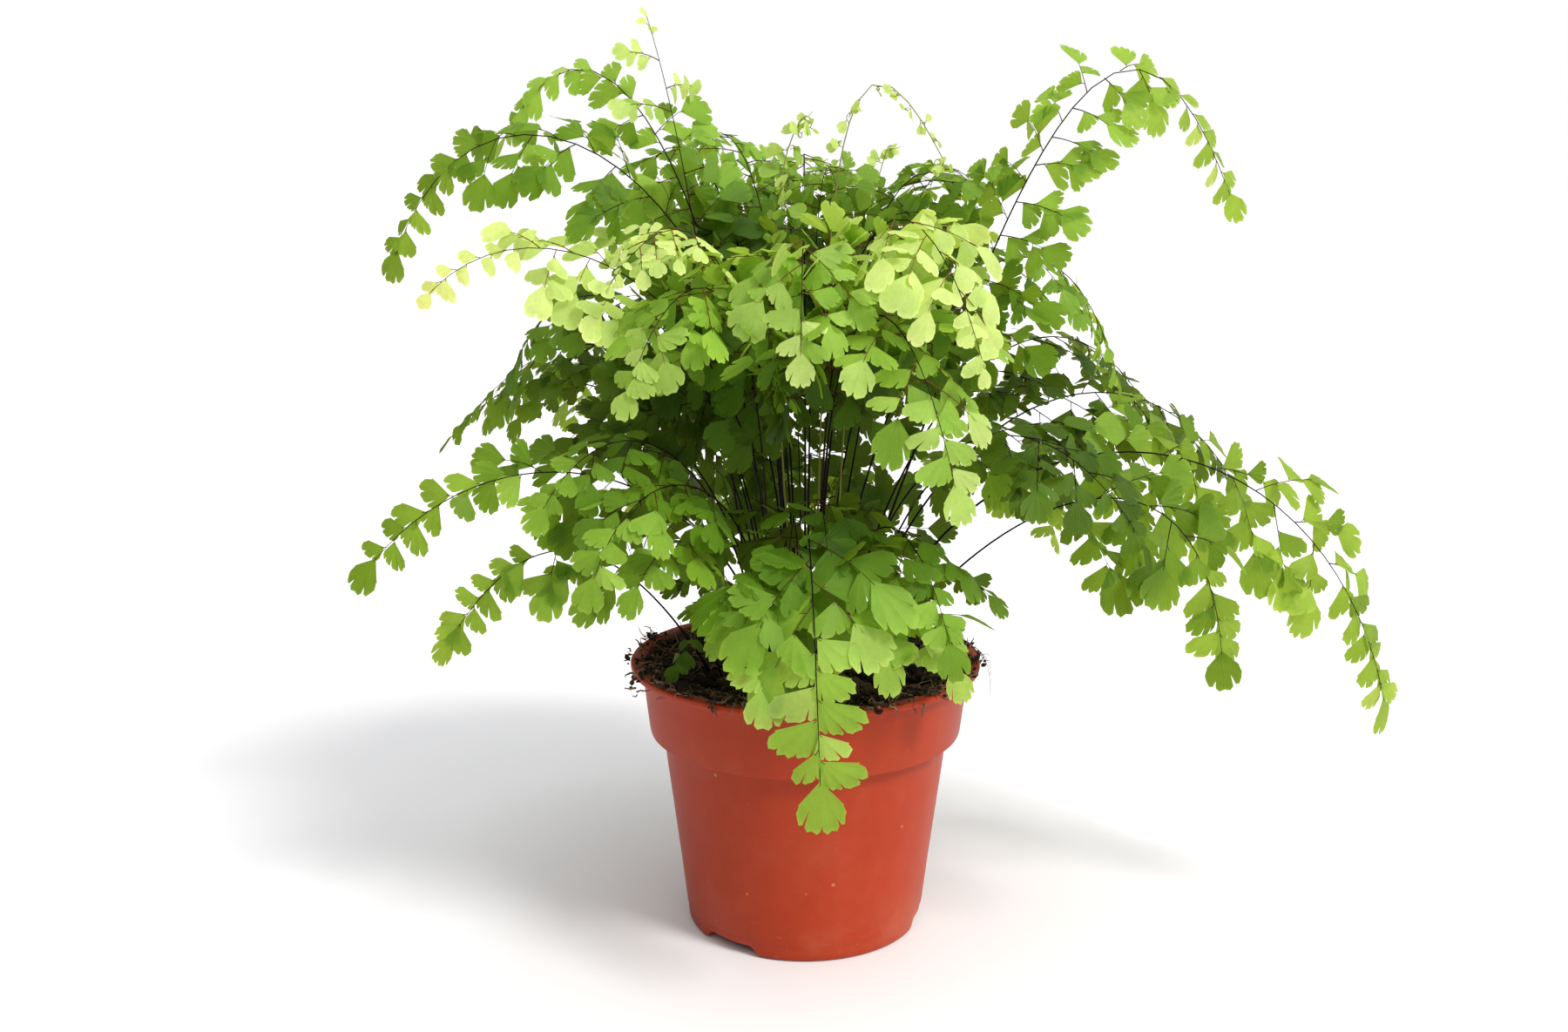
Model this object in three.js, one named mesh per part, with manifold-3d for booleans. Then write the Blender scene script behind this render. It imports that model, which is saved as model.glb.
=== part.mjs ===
// Potted maidenhair fern (Adiantum) in a round moulded nursery pot.
// Millimetres, +Z up. The origin is the middle of the pot's flat underside, on the pot's own axis.
//
// Pieces: the pot, the compost that fills it, the creeping rhizome that lies in the top of the compost, and
// the fronds, each of them one leaf: a bare wiry stalk, the midrib that carries on from it, and the blade.
// Here a blade is a row of plain kite-shaped plates, one for each group of leaflets, on a stalk of one
// thickness.

import * as THREE from "three";
import { mergeVertices } from "three/addons/utils/BufferGeometryUtils.js";
import Module from "manifold-3d";

const wasm = await Module();
wasm.setup();

// ---- Driving dimensions ----

const POT = {
  height: 94,
  wall: 1.2,
  floor: 1.6,
  lipRadius: 60, // the rolled lip round the mouth
  lipDepth: 2.4,
  bandTopRadius: 56, // the deep band under the lip
  bandFootRadius: 53.6,
  bandFoot: 69.5,
  shoulderRadius: 49, // where the band steps in to the tapered wall
  shoulder: 67.5,
  footRadius: 41,
  footRound: 2,
  segments: 48,
};

const POCKET = {
  // the raised pockets that let water out under the wall
  count: 3,
  first: -130, // heading of the first one, in degrees
  innerRadius: 30,
  outerRadius: 46,
  height: 3,
  halfAngle: 17,
  rampAngle: 4,
  slotRadius: 33.5,
  slotLength: 11,
  slotWidth: 3.5,
};

const SOIL = {
  gap: 0.3,
  middle: 86.5,
  edge: 88.5,
  lump: 0.7,
  segments: 40,
};

const RHIZOME = {
  radius: 40,
  lobe: 3.5,
  thickness: 5,
  gap: 0.3,
  segments: 30,
};

const STALK = {
  radius: 0.8,
  sides: 3,
  steps: 8,
  standOff: 0.35, // above the rhizome
};

const BLADE = {
  thickness: 0.6,
  widthShare: 0.8,
  shortest: 16,
  widest: 34,
  lean: 38, // degrees that a plate leans forward along the midrib
  droop: 0.22,
  shrinks: [1, 0.8, 0.62, 0.46],
};

// ---- The fronds ----
// heading: degrees round the pot, 0 along +X, 90 along +Y. swing: what the heading gains from root to tip.
// root: radius at which the stalk stands. rise, crest: the two middle control points [radius, height] of the
// midrib's cubic curve, and tip its end. turn: how far the blade turns about its midrib to show its face to
// the front, in degrees. spread: the longest side branch. bare: the share of the curve that has no blade.

const FRONDS = [
  // name, heading, swing, root, rise, crest, tip, turn, spread, bare
  ["left_low", 197, 0, 34, [62, 140], [90, 155], [119, 112], 48, 15, 0.35],
  ["left_long", 202, 0, 14, [25, 162], [100, 188], [143, 142], 48, 18, 0.4],
  ["left_back_low", 156, 0, 16, [25, 175], [95, 212], [142, 162], 20, 30, 0.4],
  ["left_mid", 176, 0, 12, [20, 215], [75, 245], [98, 194], 25, 30, 0.5],
  ["left_pale", 206, 0, 10, [10, 225], [90, 256], [124, 224], 50, 24, 0.5],
  ["left_upper", 190, -3, 6, [5, 262], [100, 311], [131, 234], 44, 24, 0.46],
  ["tall", 185, -14, 16, [28, 180], [37, 260], [52, 306], 42, 19, 0.86],
  ["left_top", 158, 18, 10, [20, 230], [62, 337], [98, 270], 50, 16, 0.5],
  ["top_right", 0, 0, 10, [55, 210], [90, 362], [137, 252], 50, 21, 0.45],
  ["top_right_back", 42, 0, 8, [30, 200], [50, 290], [86, 248], 20, 30, 0.52],
  ["right_long", 356, 0, 20, [60, 200], [170, 186], [196, 84], 50, 30, 0.4],
  ["right_low", 346, -10, 24, [60, 152], [128, 192], [140, 114], 50, 22, 0.54],
  ["right_upper", 8, 0, 8, [25, 225], [82, 272], [108, 188], 25, 26, 0.5],
  ["right_mid_back", 25, 0, 13, [40, 200], [105, 234], [146, 162], 15, 24, 0.48],
  ["right_mid", 12, 0, 16, [45, 188], [122, 214], [162, 140], 30, 26, 0.46],
  ["front_hanging", 268, 4, 14, [30, 175], [75, 160], [93, 85], 0, 28, 0.36],
  ["front_right_high", 298, 0, 10, [5, 230], [55, 246], [89, 171], 0, 38, 0.48],
  ["front_left", 230, 0, 20, [20, 165], [76, 184], [98, 142], 20, 22, 0.5],
  ["front_right_low", 302, 0, 20, [25, 155], [58, 168], [80, 120], 0, 20, 0.56],
  ["crest_pale", 308, 0, 8, [2, 252], [50, 280], [83, 203], 0, 42, 0.47],
  ["top_left", 120, 0, 6, [8, 230], [38, 296], [84, 262], 0, 32, 0.5],
  ["centre_high", 268, 0, 6, [0, 222], [35, 277], [70, 208], 0, 44, 0.44],
  ["left_front_high", 230, 0, 8, [8, 225], [55, 252], [82, 196], 10, 34, 0.5],
  ["back_high", 90, 0, 8, [10, 235], [50, 292], [98, 250], 0, 44, 0.44],
  ["back_left_high", 122, 0, 10, [12, 225], [60, 290], [110, 220], 0, 36, 0.44],
  ["back_right_high", 62, 0, 10, [12, 230], [60, 288], [112, 215], 0, 34, 0.44],
  ["back_mid", 100, 0, 18, [30, 190], [90, 235], [145, 165], 0, 44, 0.46],
  ["back_left_mid", 128, 0, 18, [28, 180], [90, 225], [150, 160], 0, 42, 0.46],
  ["back_right_mid", 68, 0, 18, [30, 185], [95, 230], [150, 165], 0, 42, 0.46],
  ["back_low", 88, 0, 28, [55, 150], [100, 175], [145, 110], 0, 44, 0.28],
  ["back_left_low", 118, 0, 28, [55, 150], [95, 170], [138, 115], 0, 26, 0.5],
  ["back_right_low", 48, 0, 28, [55, 155], [110, 180], [155, 112], 0, 28, 0.52],
  ["right_front_mid", 328, 0, 16, [28, 175], [80, 205], [118, 150], 20, 30, 0.52],
  ["right_front_low", 322, 0, 30, [38, 120], [50, 142], [72, 128], 10, 12, 0.44],
  ["left_front_mid", 216, 0, 18, [28, 168], [70, 198], [98, 160], 25, 24, 0.46],
  ["left_front_low", 234, 0, 30, [40, 132], [62, 164], [86, 138], 15, 22, 0.42],
  ["front_mid", 276, 0, 12, [10, 150], [34, 172], [56, 146], 0, 22, 0.5],
  ["front_low", 261, 0, 26, [32, 130], [52, 148], [80, 110], 0, 20, 0.4],
  ["front_low_left", 255, 0, 31, [40, 118], [56, 150], [73, 126], 0, 17, 0.36],
  ["front_low_right", 290, 0, 30, [36, 130], [50, 150], [70, 116], 0, 32, 0.34],
  ["front_low_middle", 264, 0, 18, [22, 145], [38, 168], [62, 134], 0, 34, 0.36],
  ["right_rim", 310, 0, 34, [42, 120], [56, 134], [70, 108], 0, 26, 0.36],
  ["sprout", 212, 0, 33, [38, 108], [43, 112], [50, 100], 0, 5, 0.62],
  ["left_mid_back", 166, 0, 14, [20, 200], [75, 225], [120, 175], 15, 34, 0.45],
  ["right_inner_high", 34, 0, 5, [8, 235], [42, 296], [80, 232], 0, 30, 0.5],
  ["left_high", 142, 0, 6, [12, 225], [48, 320], [86, 232], 20, 28, 0.48],
  ["small_pale", 223, 0, 17, [14, 215], [42, 270], [80, 226], 10, 28, 0.5],
  ["back_short", 92, 0, 30, [36, 140], [55, 184], [88, 156], 0, 40, 0.3],
  ["left_short", 142, 0, 28, [36, 120], [50, 146], [70, 130], 20, 12, 0.4],
  ["right_short", 38, 0, 26, [34, 118], [46, 140], [62, 124], 20, 8, 0.6],
  ["centre_top", 75, 0, 3, [3, 215], [15, 282], [42, 252], 0, 34, 0.48],
];

// Young fronds that are still unrolling: a bare stalk that ends in a coil of folded leaflets.
const CROZIERS = [
  // name, heading, root, rise, crest, tip, coil radius
  ["crozier_right", 0, 2, [8, 190], [0, 345], [44, 262], 3.6],
  ["crozier_middle", 214, 4, [10, 180], [20, 255], [2, 274], 4.6],
  ["crozier_back", 52, 16, [20, 160], [24, 230], [46, 265], 3.8],
];

// ---- Helpers ----

const radians = THREE.MathUtils.degToRad;

/** A point at a heading round the pot, a radius from its axis and a height. */
function around(heading, radius, height) {
  const a = radians(heading);
  return new THREE.Vector3(radius * Math.cos(a), radius * Math.sin(a), height);
}

/** The manifold-3d solid of a closed three.js geometry. */
function solid(geometry) {
  const bare = geometry.index ? geometry.toNonIndexed() : geometry.clone();
  bare.deleteAttribute("normal");
  bare.deleteAttribute("uv");
  const merged = mergeVertices(bare, 1e-4);
  return new wasm.Manifold(
    new wasm.Mesh({
      numProp: 3,
      vertProperties: merged.attributes.position.array,
      triVerts: new Uint32Array(merged.index.array),
    }),
  );
}

/** The three.js geometry of a manifold-3d solid. */
function geometryOf(made) {
  const mesh = made.getMesh();
  return new THREE.BufferGeometry()
    .setAttribute("position", new THREE.BufferAttribute(mesh.vertProperties, 3))
    .setIndex(new THREE.BufferAttribute(mesh.triVerts, 1));
}

/** A solid turned about Z from a profile of [radius, height] points that starts and ends on the axis. */
function turned(profile, segments) {
  const points = profile.map(([r, z]) => new THREE.Vector2(r, z));
  return new THREE.LatheGeometry(points, segments).rotateX(Math.PI / 2);
}

function mesh(name, made, material) {
  const m = new THREE.Mesh(geometryOf(made), material);
  m.name = name;
  return m;
}

// ---- Materials ----

const terracottaPlastic = new THREE.MeshStandardMaterial({ color: 0xb04a30, roughness: 0.42, metalness: 0 });
const peat = new THREE.MeshStandardMaterial({ color: 0x2a1b12, roughness: 1, metalness: 0 });
const rootstock = new THREE.MeshStandardMaterial({ color: 0x3a2618, roughness: 0.9, metalness: 0 });
const frondGreen = new THREE.MeshStandardMaterial({ color: 0x6da327, roughness: 0.5, metalness: 0 });
const youngGreen = new THREE.MeshStandardMaterial({ color: 0xb5cf6a, roughness: 0.55, metalness: 0 });

// ---- Pot ----

/** The pot's outside from the middle of its underside up to the lip's outer edge. */
function potOutside(grow = 0) {
  const { footRadius, footRound, shoulderRadius, shoulder, bandFootRadius, bandFoot, bandTopRadius } = POT;
  return [
    [footRadius - footRound, 0],
    [footRadius - footRound * 0.3, footRound * 0.3],
    [footRadius, footRound],
    [shoulderRadius, shoulder],
    [bandFootRadius, bandFoot],
    [bandTopRadius, POT.height - POT.lipDepth],
  ].map(([r, z]) => [r + grow, z]);
}

/** The pot's hollow, as a profile from its floor up past the mouth. */
function potHollow(gap = 0) {
  const inset = POT.wall + gap;
  const bottom = POT.floor + gap;
  const side = potOutside(-inset).filter(([, z]) => z > bottom);
  return [[0, bottom], [side[0][0] - 1, bottom], ...side];
}

/** One pocket under the wall: a block with ramps at its two ends, grown by a wall's thickness if asked. */
function pocketBlock(heading, grow) {
  const { innerRadius, outerRadius, height, halfAngle, rampAngle } = POCKET;
  const middle = (innerRadius + outerRadius) / 2;
  const foot = middle * radians(halfAngle) + grow;
  const top = middle * radians(halfAngle - rampAngle) + grow;
  const outline = new THREE.Shape([
    new THREE.Vector2(-foot, -1),
    new THREE.Vector2(foot, -1),
    new THREE.Vector2(top, height + grow),
    new THREE.Vector2(-top, height + grow),
  ]);
  const depth = outerRadius - innerRadius + 2 * grow;
  const block = new THREE.ExtrudeGeometry(outline, { depth, bevelEnabled: false })
    .rotateX(Math.PI / 2)
    .rotateZ(Math.PI / 2)
    .translate(innerRadius - grow, 0, 0)
    .rotateZ(radians(heading));
  return solid(block);
}

function pockets(grow) {
  const turn = 360 / POCKET.count;
  return [...Array(POCKET.count).keys()].map((i) => pocketBlock(POCKET.first + i * turn, grow));
}

function joined(solids) {
  return solids.reduce((whole, next) => whole.add(next));
}

function pot() {
  const { lipRadius, lipDepth, height, wall, segments } = POT;
  const lip = [
    [lipRadius - 0.8, height - lipDepth],
    [lipRadius, height - lipDepth + 0.8],
    [lipRadius, height - 0.6],
    [lipRadius - 0.6, height],
  ];
  const whole = solid(turned([[0, 0], ...potOutside(), ...lip, [0, height]], segments));
  const mouth = [POT.bandTopRadius - wall, height + 1];
  const hollow = solid(turned([...potHollow(), mouth, [0, height + 1]], segments));
  const slots = [...Array(POCKET.count).keys()].map((i) => {
    const slot = new THREE.BoxGeometry(POCKET.slotWidth, POCKET.slotLength, 12)
      .translate(POCKET.slotRadius, 0, 2)
      .rotateZ(radians(POCKET.first + (i * 360) / POCKET.count));
    return solid(slot);
  });
  return whole
    .subtract(hollow.subtract(joined(pockets(wall))))
    .subtract(joined(pockets(0)))
    .subtract(joined(slots));
}

// ---- Compost ----

/** Height of the compost's top at a radius and heading: low in the middle, with shallow lumps. */
function soilTop(radius, angle) {
  const share = radius / POT.shoulderRadius;
  const lumps = Math.sin(3 * angle + radius / 7) + Math.sin(5 * angle - radius / 9);
  return SOIL.middle + (SOIL.edge - SOIL.middle) * share * share + SOIL.lump * lumps * share * 0.5;
}

function soil() {
  const side = potHollow(SOIL.gap);
  const below = side.filter(([, z]) => z < SOIL.edge - 2);
  const edgeRadius = POT.bandTopRadius - POT.wall - SOIL.gap - 0.6;
  const rings = [1, 0.82, 0.62, 0.4].map((share) => [edgeRadius * share, SOIL.edge]);
  const body = turned([...below, ...rings, [0, SOIL.edge]], SOIL.segments);
  const at = body.attributes.position;
  for (let i = 0; i < at.count; i++) {
    const [x, y, z] = [at.getX(i), at.getY(i), at.getZ(i)];
    if (z < SOIL.edge - 0.01) continue;
    const radius = Math.hypot(x, y);
    at.setZ(i, soilTop(radius, radius < 0.01 ? 0 : Math.atan2(y, x)));
  }
  return solid(body).subtract(joined(pockets(POT.wall + SOIL.gap)));
}

// ---- Rhizome ----

/** Radius of the rhizome's outline at an angle: a disc with blunt lobes. */
function rhizomeEdge(angle) {
  return RHIZOME.radius + RHIZOME.lobe * Math.sin(4 * angle + 1) + RHIZOME.lobe * 0.5 * Math.sin(7 * angle);
}

const rhizomeFoot = SOIL.edge + SOIL.lump + RHIZOME.gap;

/** Height of the rhizome's top at a share of its radius. */
function rhizomeTop(share) {
  return rhizomeFoot + RHIZOME.thickness * Math.sqrt(Math.max(0, 1 - share ** 4));
}

function rhizome() {
  const shares = [0.85, 1, 0.93, 0.7, 0.4];
  const heights = [rhizomeFoot, rhizomeFoot + 1.2, rhizomeTop(0.93), rhizomeTop(0.7), rhizomeTop(0.4)];
  const profile = shares.map((share, i) => [share, heights[i]]);
  const body = turned([[0, rhizomeFoot], ...profile, [0, rhizomeTop(0)]], RHIZOME.segments);
  const at = body.attributes.position;
  for (let i = 0; i < at.count; i++) {
    const [x, y] = [at.getX(i), at.getY(i)];
    const edge = rhizomeEdge(Math.atan2(y, x));
    at.setX(i, x * edge);
    at.setY(i, y * edge);
  }
  return solid(body);
}

// ---- Fronds ----

/** The midrib of a frond, from the rhizome to its tip. */
function midrib(heading, swing, root, rise, crest, tip) {
  const foot = rhizomeTop(root / RHIZOME.radius) + STALK.standOff;
  return new THREE.CubicBezierCurve3(
    around(heading, root, foot),
    around(heading + swing * 0.2, ...rise),
    around(heading + swing * 0.6, ...crest),
    around(heading + swing, ...tip),
  );
}

function stalk(curve) {
  const ring = new THREE.EllipseCurve(0, 0, STALK.radius, STALK.radius);
  const section = new THREE.Shape(ring.getPoints(STALK.sides));
  const settings = { steps: STALK.steps, extrudePath: curve, bevelEnabled: false };
  return solid(new THREE.ExtrudeGeometry(section, settings));
}

/** A flat kite of one length along +X, facing +Z, whose stalk end is a little way behind the origin. */
function kite(length, behind) {
  const half = Math.min(length * BLADE.widthShare, BLADE.widest) / 2;
  const outline = new THREE.Shape([
    new THREE.Vector2(-behind, 0),
    new THREE.Vector2(length * 0.6, -half),
    new THREE.Vector2(length, 0),
    new THREE.Vector2(length * 0.6, half),
  ]);
  const flat = new THREE.ExtrudeGeometry(outline, { depth: BLADE.thickness, bevelEnabled: false });
  return flat.translate(0, 0, -BLADE.thickness / 2);
}

/** The along, side and facing directions of a blade at a place on its midrib. */
function bladeAxes(curve, u, heading, turn) {
  const along = curve.getTangentAt(u);
  const level = around(heading + 90, 1, 0);
  const facing = new THREE.Vector3().crossVectors(along, level).normalize();
  const towardsFront = new THREE.Vector3().crossVectors(along, facing).y < 0 ? 1 : -1;
  level.applyAxisAngle(along, radians(turn) * towardsFront);
  facing.applyAxisAngle(along, radians(turn) * towardsFront);
  return { along, level, facing };
}

/** The middle of one straight step of a stalk. */
function middleOfStep(curve, step) {
  return curve.getPointAt(step / STALK.steps).lerp(curve.getPointAt((step + 1) / STALK.steps), 0.5);
}

/** The way a plate points: forward along the midrib, out to one side, and a little down. */
function plateDirection(along, level, side) {
  const lean = radians(BLADE.lean);
  return along
    .clone()
    .multiplyScalar(Math.sin(lean))
    .addScaledVector(level, side * Math.cos(lean))
    .add(new THREE.Vector3(0, 0, -BLADE.droop))
    .normalize();
}

/** Where a plate stands, as a matrix from its own axes. */
function platePlace(curve, step, heading, turn) {
  const last = step === STALK.steps;
  const u = last ? 1 : (step + 0.5) / STALK.steps;
  const { along, level, facing } = bladeAxes(curve, u, heading, turn);
  const out = last ? along : plateDirection(along, level, step % 2 ? 1 : -1);
  const across = new THREE.Vector3().crossVectors(facing, out).normalize();
  const normal = new THREE.Vector3().crossVectors(out, across);
  const foot = last ? curve.getPointAt(1) : middleOfStep(curve, step);
  return new THREE.Matrix4().makeBasis(out, across, normal).setPosition(foot);
}

/** The plates of one frond, each a function of a scale, so that one without room can be made smaller. */
function plates(curve, heading, turn, spread, bare) {
  const made = [];
  const first = Math.round(bare * STALK.steps);
  for (let step = first; step <= STALK.steps; step++) {
    const share = (step - first) / (STALK.steps - first);
    const length = Math.max(spread * (1 - share) ** 0.9, BLADE.shortest);
    const behind = step === STALK.steps ? STALK.radius : 0;
    const place = platePlace(curve, step, heading, turn);
    made.push((scale) => solid(kite(length * scale, behind).applyMatrix4(place)));
  }
  return made;
}

function boxesMeet(a, b) {
  return [0, 1, 2].every((k) => a.min[k] < b.max[k] && b.min[k] < a.max[k]);
}

/** True if a solid shares room with any of the others. */
function collides(made, others) {
  const box = made.boundingBox();
  return others.some((o) => boxesMeet(box, o.box) && made.intersect(o.solid).volume() > 0);
}

function standing(made, owner) {
  return { owner, solid: made, box: made.boundingBox() };
}

/** A frond's stalk, with its plates still to be placed. */
function bareFrond([name, heading, swing, root, rise, crest, tip, turn, spread, bare]) {
  const curve = midrib(heading, swing, root, rise, crest, tip);
  const waiting = plates(curve, heading, turn, spread, bare);
  return { name: "frond_" + name, pieces: [stalk(curve)], waiting };
}

/** A crozier: its stalk with the coil at the end. */
function crozier([name, heading, root, rise, crest, tip, coil]) {
  const curve = midrib(heading, 0, root, rise, crest, tip);
  const end = curve.getPoint(1);
  const ball = new THREE.IcosahedronGeometry(coil, 0).translate(end.x, end.y, end.z);
  return { name, pieces: [stalk(curve), solid(ball)], waiting: [] };
}

/** Gives the next plate of a frond, from the tip down, the largest size it has room for. */
function placeNextPlate(frond, placed) {
  const plate = frond.waiting.pop();
  const others = placed.filter((o) => o.owner !== frond.name);
  const made = BLADE.shrinks.map(plate).find((sized) => !collides(sized, others));
  if (!made) return;
  frond.pieces.push(made);
  placed.push(standing(made, frond.name));
}

/** All fronds and croziers: every stalk first, then the plates in turn, where they have room. */
function grow(fixed) {
  const old = FRONDS.map(bareFrond);
  const young = CROZIERS.map(crozier);
  const placed = fixed.map((f) => standing(f, ""));
  for (const frond of [...old, ...young]) {
    placed.push(...frond.pieces.map((piece) => standing(piece, frond.name)));
  }
  while (old.some((frond) => frond.waiting.length)) {
    old.filter((frond) => frond.waiting.length).forEach((frond) => placeNextPlate(frond, placed));
  }
  return [
    ...old.map((f) => mesh(f.name, joined(f.pieces), frondGreen)),
    ...young.map((f) => mesh(f.name, joined(f.pieces), youngGreen)),
  ];
}

// ---- The whole plant ----

const plant = new THREE.Group();
const potSolid = pot();
const soilSolid = soil();
const rhizomeSolid = rhizome();
plant.add(mesh("pot", potSolid, terracottaPlastic));
plant.add(mesh("compost", soilSolid, peat));
plant.add(mesh("rhizome", rhizomeSolid, rootstock));
plant.add(...grow([potSolid, soilSolid, rhizomeSolid]));

export default plant;
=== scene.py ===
"""Looks of a potted maidenhair fern.

A nursery pot, its compost and rootstock, and the fronds with their leaflets.
"""

import itertools
import math
import random

import bmesh
import bpy
from mathutils import Matrix, Vector, noise
from mathutils.geometry import interpolate_bezier


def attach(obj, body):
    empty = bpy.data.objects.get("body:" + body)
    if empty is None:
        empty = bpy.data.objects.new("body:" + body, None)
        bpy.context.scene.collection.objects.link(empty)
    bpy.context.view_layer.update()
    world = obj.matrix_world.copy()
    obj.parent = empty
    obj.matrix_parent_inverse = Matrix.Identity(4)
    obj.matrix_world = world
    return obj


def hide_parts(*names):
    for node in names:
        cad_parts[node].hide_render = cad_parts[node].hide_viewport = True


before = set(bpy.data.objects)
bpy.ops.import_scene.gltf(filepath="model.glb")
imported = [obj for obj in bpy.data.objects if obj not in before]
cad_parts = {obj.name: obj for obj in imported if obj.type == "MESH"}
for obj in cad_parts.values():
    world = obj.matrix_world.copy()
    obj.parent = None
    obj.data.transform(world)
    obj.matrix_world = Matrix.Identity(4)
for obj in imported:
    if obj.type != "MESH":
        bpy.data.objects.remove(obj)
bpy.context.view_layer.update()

MM = 0.001
BODY = "root"


def around(heading, radius, height):
    """A point at a heading round the pot in degrees, and a radius and a height in millimetres."""
    a = math.radians(heading)
    return Vector((radius * math.cos(a), radius * math.sin(a), height)) * MM


def clamped(value):
    """A value kept between 0 and 1."""
    return min(max(value, 0), 1)


def scatter(rng, spread):
    """A vector whose three parts are drawn about zero."""
    return Vector([rng.gauss(0, spread) for _ in range(3)])


def link(name, data):
    """A new object of the scene."""
    made = bpy.data.objects.new(name, data)
    bpy.context.scene.collection.objects.link(made)
    return made


# ---------------------------------------------------------------- material helpers


class Nodes:
    """Short ways to place and link the nodes of one material or group."""

    def __init__(self, tree):
        self.tree = tree

    def add(self, kind, inputs=None, **settings):
        """A new node with its settings, and with its inputs linked or set."""
        node = self.tree.nodes.new(kind)
        for key, value in settings.items():
            setattr(node, key, value)
        for key, value in (inputs or {}).items():
            self.feed(node.inputs[key], value)
        return node

    def feed(self, socket, value):
        """Links a socket to another one, or sets its value."""
        if isinstance(value, bpy.types.NodeSocket):
            self.tree.links.new(value, socket)
        else:
            socket.default_value = value

    def math(self, operation, a, b=0.0):
        return self.add("ShaderNodeMath", {0: a, 1: b}, operation=operation).outputs[0]

    def times(self, a, b):
        return self.math("MULTIPLY", a, b)

    def plus(self, a, b):
        return self.math("ADD", a, b)

    def flip(self, value):
        """1 less a value."""
        return self.math("SUBTRACT", 1, value)

    def band(self, value, low, high):
        """0 below low, 1 above high, and smooth between them."""
        inputs = {"Value": value, "From Min": low, "From Max": high}
        node = self.add("ShaderNodeMapRange", inputs, interpolation_type="SMOOTHSTEP", clamp=True)
        return node.outputs["Result"]

    def span(self, value, low, high):
        """Spreads a 0 to 1 value over low to high."""
        inputs = {"Value": value, "To Min": low, "To Max": high}
        return self.add("ShaderNodeMapRange", inputs, clamp=True).outputs["Result"]

    def blend(self, share, a, b, kind="MIX"):
        """Colour a with a share of colour b over it."""
        inputs = {0: share, 6: a, 7: b}
        return self.add("ShaderNodeMix", inputs, data_type="RGBA", blend_type=kind).outputs[2]

    def ramp(self, value, stops):
        """A colour read from stops, which are pairs of a place from 0 to 1 and a colour."""
        node = self.add("ShaderNodeValToRGB", {"Fac": value})
        elements = node.color_ramp.elements
        for position, _ in stops[1:-1]:
            elements.new(position)
        for element, (position, colour) in zip(elements, stops):
            element.position = position
            element.color = colour
        return node.outputs["Color"]

    def noise(self, vector, scale, detail=3.0, rough=0.5):
        inputs = {"Vector": vector, "Scale": scale, "Detail": detail, "Roughness": rough}
        return self.add("ShaderNodeTexNoise", inputs).outputs["Fac"]

    def cells(self, vector, scale):
        return self.add("ShaderNodeTexVoronoi", {"Vector": vector, "Scale": scale}).outputs

    def stretch(self, vector, scale):
        return self.add("ShaderNodeMapping", {"Vector": vector, "Scale": scale}).outputs["Vector"]

    def bump(self, height, strength, distance):
        inputs = {"Strength": strength, "Distance": distance, "Height": height}
        return self.add("ShaderNodeBump", inputs).outputs["Normal"]

    def split(self, vector):
        return self.add("ShaderNodeSeparateXYZ", {"Vector": vector}).outputs

    def place(self):
        return self.add("ShaderNodeTexCoord").outputs["Object"]

    def from_axis(self):
        """The distance from the pot's axis, in metres."""
        level = self.stretch(self.place(), (1, 1, 0))
        return self.add("ShaderNodeVectorMath", {0: level}, operation="LENGTH").outputs["Value"]

    def attribute(self, name):
        return self.add("ShaderNodeAttribute", attribute_name=name).outputs["Fac"]

    def use(self, tree, inputs):
        """Places a node group, and gives its outputs."""
        return self.add("ShaderNodeGroup", inputs, node_tree=tree).outputs

    def dress(self, shader, colour, rough, normal=None, gloss=0.5):
        """Gives a Principled shader its colour, roughness, relief and plain gloss."""
        self.feed(shader.inputs["Base Color"], colour)
        self.feed(shader.inputs["Roughness"], rough)
        if normal is not None:
            self.feed(shader.inputs["Normal"], normal)
        shader.inputs["Specular IOR Level"].default_value = gloss


def material(name):
    """A new material with only a Principled shader, its output and its nodes helper."""
    made = bpy.data.materials.new(name)
    made.use_nodes = True
    return made, Nodes(made.node_tree), made.node_tree.nodes["Principled BSDF"]


def group(name, inputs, outputs):
    """A new shader node group, with its helper and its two ends. Sockets are given as {name: kind}."""
    tree = bpy.data.node_groups.new(name, "ShaderNodeTree")
    for way, sockets in (("INPUT", inputs), ("OUTPUT", outputs)):
        for key, kind in sockets.items():
            tree.interface.new_socket(name=key, in_out=way, socket_type="NodeSocket" + kind)
    start = tree.nodes.new("NodeGroupInput")
    end = tree.nodes.new("NodeGroupOutput")
    return tree, Nodes(tree), start.outputs, end.inputs


# ---------------------------------------------------------------- camera and light

CAMERA_PLACE = Vector((-7.3, -548, 263)) * MM
CAMERA_PITCH = 12.3
LENS = 38
SENSOR = 36
# angles in degrees
KEY_HEADING = -42
KEY_ELEVATION = 46
KEY_WIDTH = 16
KEY_STRENGTH = 2.5
KEY_COLOUR = (1, 0.98, 0.93)
# brightness of the studio from the right, from above and from elsewhere
SIDE_GLOW = 0.85
TOP_GLOW = 1.55
LEAST_GLOW = 0.06


def set_camera():
    """The camera looks a little down on the front of the plant, from just over half a metre."""
    data = bpy.data.cameras.new("camera")
    data.lens = LENS
    data.sensor_width = SENSOR
    data.clip_start = 0.01
    data.clip_end = 50
    camera = link("camera", data)
    camera.location = CAMERA_PLACE
    camera.rotation_euler = (math.radians(90 - CAMERA_PITCH), 0, 0)
    bpy.context.scene.camera = camera


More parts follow.
